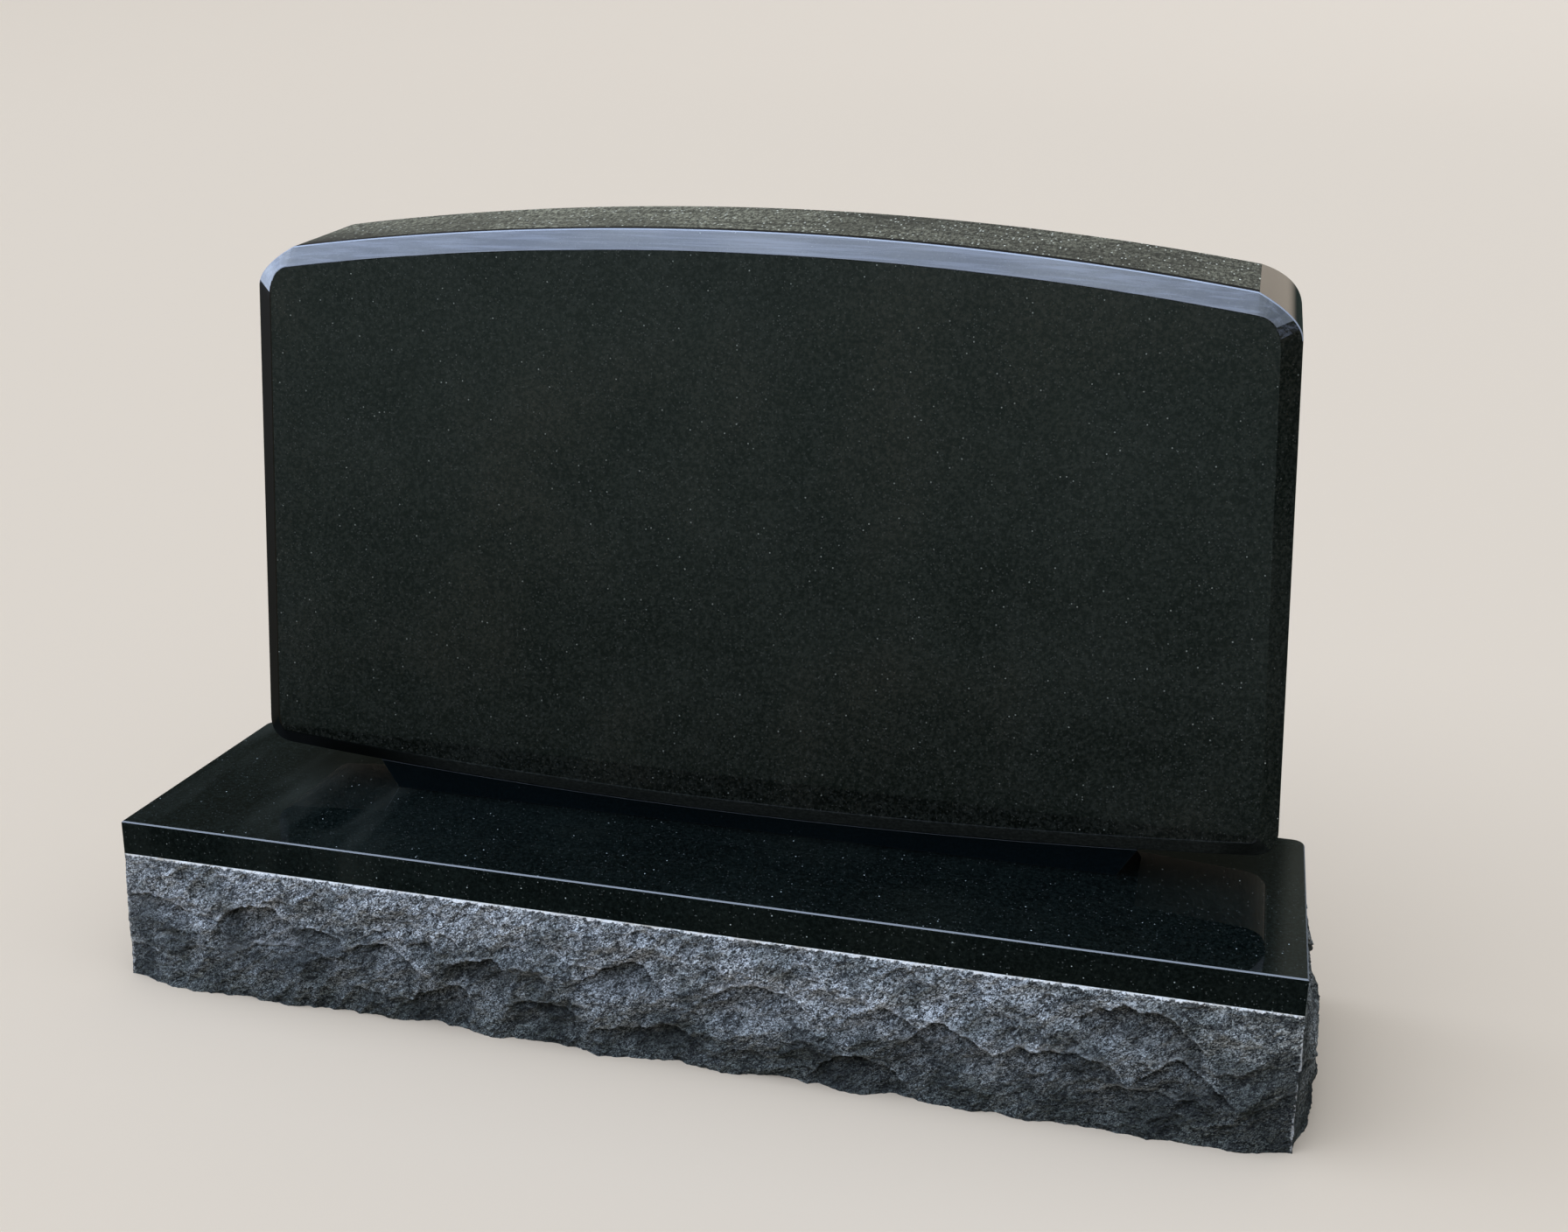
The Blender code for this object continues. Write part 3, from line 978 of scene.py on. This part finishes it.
def pitchSides(bm, values, form):
    halfX, halfY = values["length"] / 2, values["depth"] / 2
    # Outward direction, way along the wall, length, seed, reach
    rows = (
        ((0, -1, 0), lambda p: p.x + halfX, values["length"], 11, values["frontReach"]),
        ((1, 0, 0), lambda p: p.y + halfY, values["depth"], 23, values["sideReach"]),
        ((0, 1, 0), lambda p: halfX - p.x, values["length"], 37, values["frontReach"]),
        ((-1, 0, 0), lambda p: halfY - p.y, values["depth"], 41, values["sideReach"]),
    )
    walls = [(Vector(outward), rockWall(values, form, *row)) for outward, *row in rows]
    # Painted shade and painted lip highlight, kept on the vertices for the rock's colour
    recessShades = bm.verts.layers.float.new("recessShade")
    lipHighlights = bm.verts.layers.float.new("lip")
    moved = []
    for vert in bm.verts:
        if vert.co.z > rockHeightOf(values) - values["near"]:
            continue
        shift = Vector((0, 0, 0))
        recessShade, light = 0.0, 0.0
        for outward, standOut in walls:
            wall = halfX if outward.x else halfY
            if abs(vert.co.dot(outward) - wall) > values["near"]:
                continue
            stand, dip, glint = standOut(vert.co)
            shift += outward * stand
            recessShade, light = max(recessShade, dip), max(light, glint)
        moved.append((vert, shift, recessShade, light))
    for vert, shift, recessShade, light in moved:
        vert.co += shift
        vert[recessShades] = recessShade
        vert[lipHighlights] = light


def makeBase(values, form):
    # Without a seed of its own, noise_vector differs from run to run
    noise.seed_set(values["noiseSeed"])
    bm = bmesh.new()
    squareBlock(bm, values)
    divideRock(bm, values)
    pitchSides(bm, values, form)
    bm.normal_update()
    for face in bm.faces:
        middle = face.calc_center_median()
        if middle.z < rockHeightOf(values) and face.normal.z > -0.99:
            face.material_index = 1
        # The base's top arris takes the painted highlight
        elif middle.z > values["height"] - values["arris"] and face.normal.z < 0.9:
            face.material_index = 2
    rock = makeRock("rock-pitched granite", rockLook, values)
    piece = linkPiece("base_stone", bm, (basePolish, rock, baseArrisHighlight))
    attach(piece, "root")
    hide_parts("base")
    piece.data.calc_loop_triangles()
    print("base triangles", len(piece.data.loop_triangles))


makeBase(baseShape, flakeForm)
print("base made")


# Floor, sky and light

stageLook = {
    "floorColour": (0.534, 0.430, 0.313),
    "roughness": 0.9,
    "radius": 80.0,
    "rimStart": 34.0,
    "rimHeight": 24.0,
    "rimSteps": 8,
    "turns": 64,
}


def makeFloor(values):
    bm = bmesh.new()
    profile = [bm.verts.new((0.0, 0, 0)), bm.verts.new((values["rimStart"], 0, 0))]
    for step in range(1, values["rimSteps"] + 1):
        angle = math.radians(90 * step / values["rimSteps"])
        x = values["rimStart"] + (values["radius"] - values["rimStart"]) * math.sin(angle)
        z = values["rimHeight"] * (1 - math.cos(angle))
        profile.append(bm.verts.new((x, 0, z)))
    edges = [bm.edges.new(pair) for pair in zip(profile, profile[1:])]
    bmesh.ops.spin(bm, geom=profile + edges, cent=(0, 0, 0), axis=(0, 0, 1), angle=math.tau,
                   steps=values["turns"], use_merge=True)
    bmesh.ops.remove_doubles(bm, verts=bm.verts[:], dist=0.001)
    bmesh.ops.recalc_face_normals(bm, faces=bm.faces[:])
    material = makePlain("pale floor", values["floorColour"], values["roughness"], 0.0)
    floor = linkPiece("floor", bm, (material,))
    floor.data.shade_smooth()
    floor.visible_glossy = False


# Ranges are of a direction's parts: height up, depth to the back, side to the right
skyLook = {
    "below": (0.030, 0.042, 0.038),
    "floorFar": (0.15, 0.20, 0.19),
    "horizon": (0.66, 0.58, 0.49),
    "low": (0.040, 0.045, 0.036),
    "back": (1.10, 1.05, 0.95),
    "glow": (0.19, 0.205, 0.176),
    "domeLeft": (2.8, 3.3, 4.25),
    "domeRight": (2.2, 2.55, 3.15),
    "domeEdge": (1.22, 1.44, 1.78),
    "haze": (0.74, 0.76, 0.81),
    "aheadDepth": (-0.75, -0.30, 1.0, 0.0),
    "risingHeight": (-0.45, -0.08),
    "behindDepth": (0.0, 0.5),
    "rimHeight": (0.02, 0.17),
    "lowHeight": (0.20, 0.36),
    "backHeight": (0.60, 0.85),
    "glowFrom": (0.038, 0.050),
    "glowTo": (0.12, 0.30, 1.0, 0.0),
    "glowHeight": (0.37, 0.41),
    "glowDepth": (0.55, 0.75),
    "frontLift": -0.35,      # how far the bright dome's rim rises towards the front
    "backLift": 1.55,        # and towards the back
    "leftSide": (-0.82, -0.62, 0.45, 0.0),
    "leftDepth": (0.27, 0.33, 1.0, 0.0),
    "rightSide": (0.60, 0.85, 0.0, 0.17),
    "domeTurn": (-0.45, 0.55),
    "edgeTurn": (0.10, 0.72),
    "hazeNoise": (7.0, 3.0),
    "hazeRange": (0.32, 0.70),
    "domeRange": (0.235, 0.265),
}


def makeSky(values):
    world = bpy.data.worlds.new("soft sky")
    bpy.context.scene.world = world
    world.use_nodes = True
    tree = world.node_tree
    place = addNode(tree, "ShaderNodeTexCoord").outputs["Generated"]
    side, depth, height = (axisOf(tree, place, axis) for axis in "XYZ")

    def part(value, name):
        return rangeOf(tree, value, *values[name])

    ahead = part(depth, "aheadDepth")
    rising = productOf(tree, part(height, "risingHeight"), ahead)
    colour = mixOf(tree, rising, values["below"], values["floorFar"])
    rimLight = mixOf(tree, part(depth, "behindDepth"), values["low"], values["horizon"])
    colour = mixOf(tree, part(height, "rimHeight"), colour, rimLight)
    colour = mixOf(tree, part(height, "lowHeight"), colour, values["low"])
    colour = mixOf(tree, part(height, "backHeight"), colour, values["back"])
    glow = productOf(tree, part(side, "glowFrom"), part(side, "glowTo"))
    glow = productOf(tree, glow, part(height, "glowHeight"))
    glow = productOf(tree, glow, part(depth, "glowDepth"))
    colour = mixOf(tree, glow, colour, values["glow"])
    rim = mathOf(tree, "MAXIMUM", productOf(tree, depth, values["frontLift"]),
                 productOf(tree, depth, values["backLift"]))
    dip = productOf(tree, part(side, "leftSide"), part(depth, "leftDepth"))
    rim = mathOf(tree, "SUBTRACT", rim, dip)
    rim = sumOf(tree, rim, part(side, "rightSide"))
    dome = mixOf(tree, part(side, "domeTurn"), values["domeLeft"], values["domeRight"])
    dome = mixOf(tree, part(side, "edgeTurn"), dome, values["domeEdge"])
    haze = part(noiseOf(tree, place, *values["hazeNoise"]), "hazeRange")
    dome = shadeOf(tree, haze, dome, values["haze"])
    bright = part(mathOf(tree, "SUBTRACT", height, rim), "domeRange")
    colour = mixOf(tree, bright, colour, dome)
    tree.links.new(colour, tree.nodes["Background"].inputs["Color"])


makeFloor(stageLook)
makeSky(skyLook)
bpy.context.scene.view_settings.view_transform = "Standard"
print("floor and sky made")
